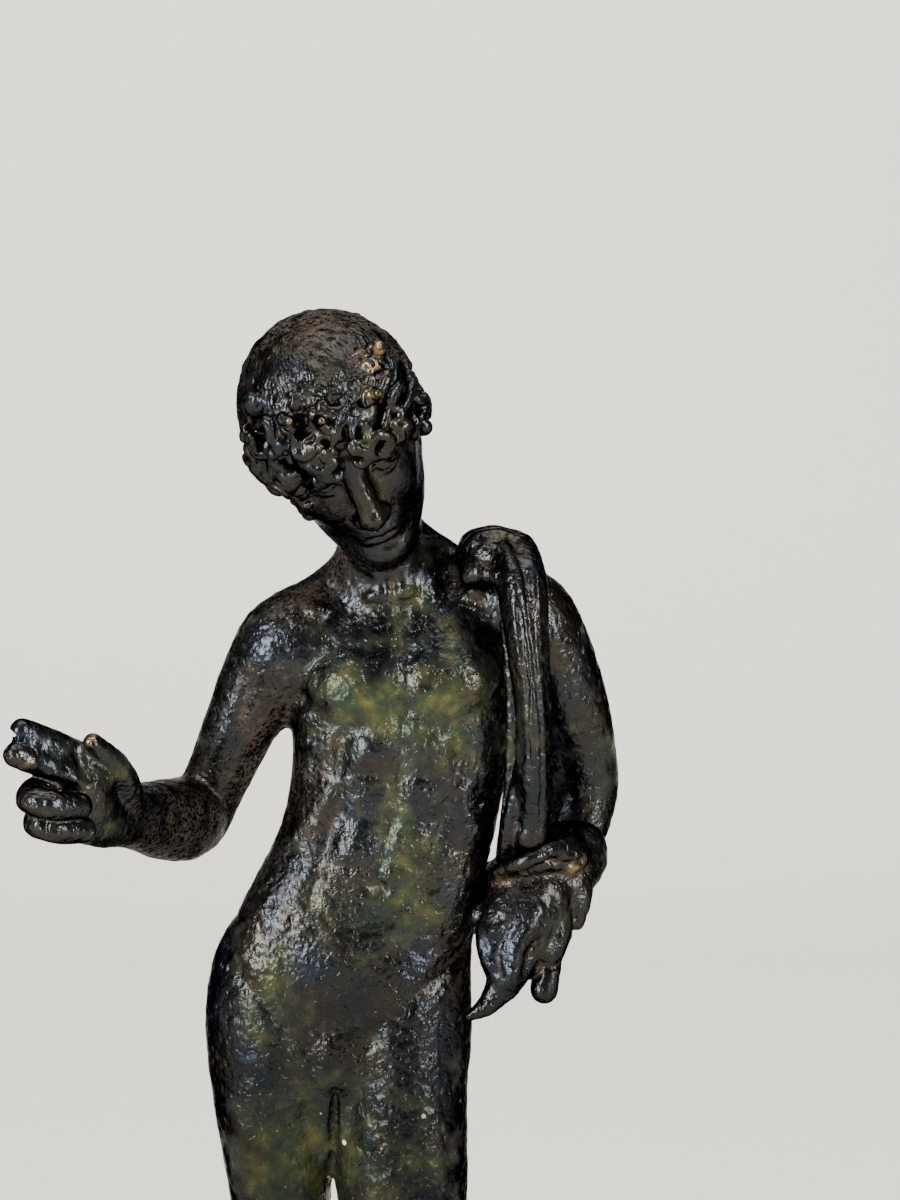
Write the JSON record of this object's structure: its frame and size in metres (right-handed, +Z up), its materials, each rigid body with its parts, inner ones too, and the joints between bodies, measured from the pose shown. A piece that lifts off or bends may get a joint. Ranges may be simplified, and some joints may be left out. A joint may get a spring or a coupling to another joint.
{
  "type": "bronze statuette",
  "caption": "Cast bronze statuette of a standing youth with bowed head and raised hand, a goatskin over one shoulder, pinned from sections on a round moulded base.",
  "frame": {"origin": "centre of the underside, under the middle of the round base", "axes": "+Z up, the figure faces -Y, its right arm is on the -X side"},
  "size_m": [0.0588, 0.058, 0.1678],
  "materials": {
    "bronze_body": "dark waxed patina with green and ochre patches",
    "bronze_head": "dark patina, chased hair, rubbed high points",
    "bronze_skin": "dark glossy patina with brown dust in the folds",
    "bronze_base": "dark brown turned bronze, rubbed mouldings",
    "pin_metal": "plain drawn brass",
    "steel_fixing": "dull plated",
    "felt": "matt wool felt"
  },
  "bodies": {
    "root": {"head": "bronze_head", "torso": "bronze_body", "right_arm": "bronze_body", "right_hand": "bronze_body", "left_arm": "bronze_body", "left_hand": "bronze_body", "right_leg": "bronze_body", "left_leg": "bronze_body", "goatskin_fall": "bronze_skin", "goatskin_wrap": "bronze_skin", "neck_dowel": "pin_metal", "right_shoulder_dowel": "pin_metal", "left_shoulder_dowel": "pin_metal", "right_wrist_dowel": "pin_metal", "left_wrist_dowel": "pin_metal", "right_hip_dowel": "pin_metal", "left_hip_dowel": "pin_metal", "goatskin_rivets": "pin_metal", "base_drum": "bronze_base", "right_foot_stud": "steel_fixing", "left_foot_stud": "steel_fixing", "stud_washers": "steel_fixing", "stud_nuts": "steel_fixing", "felt_pad": "felt"}
  },
  "joints": []
}
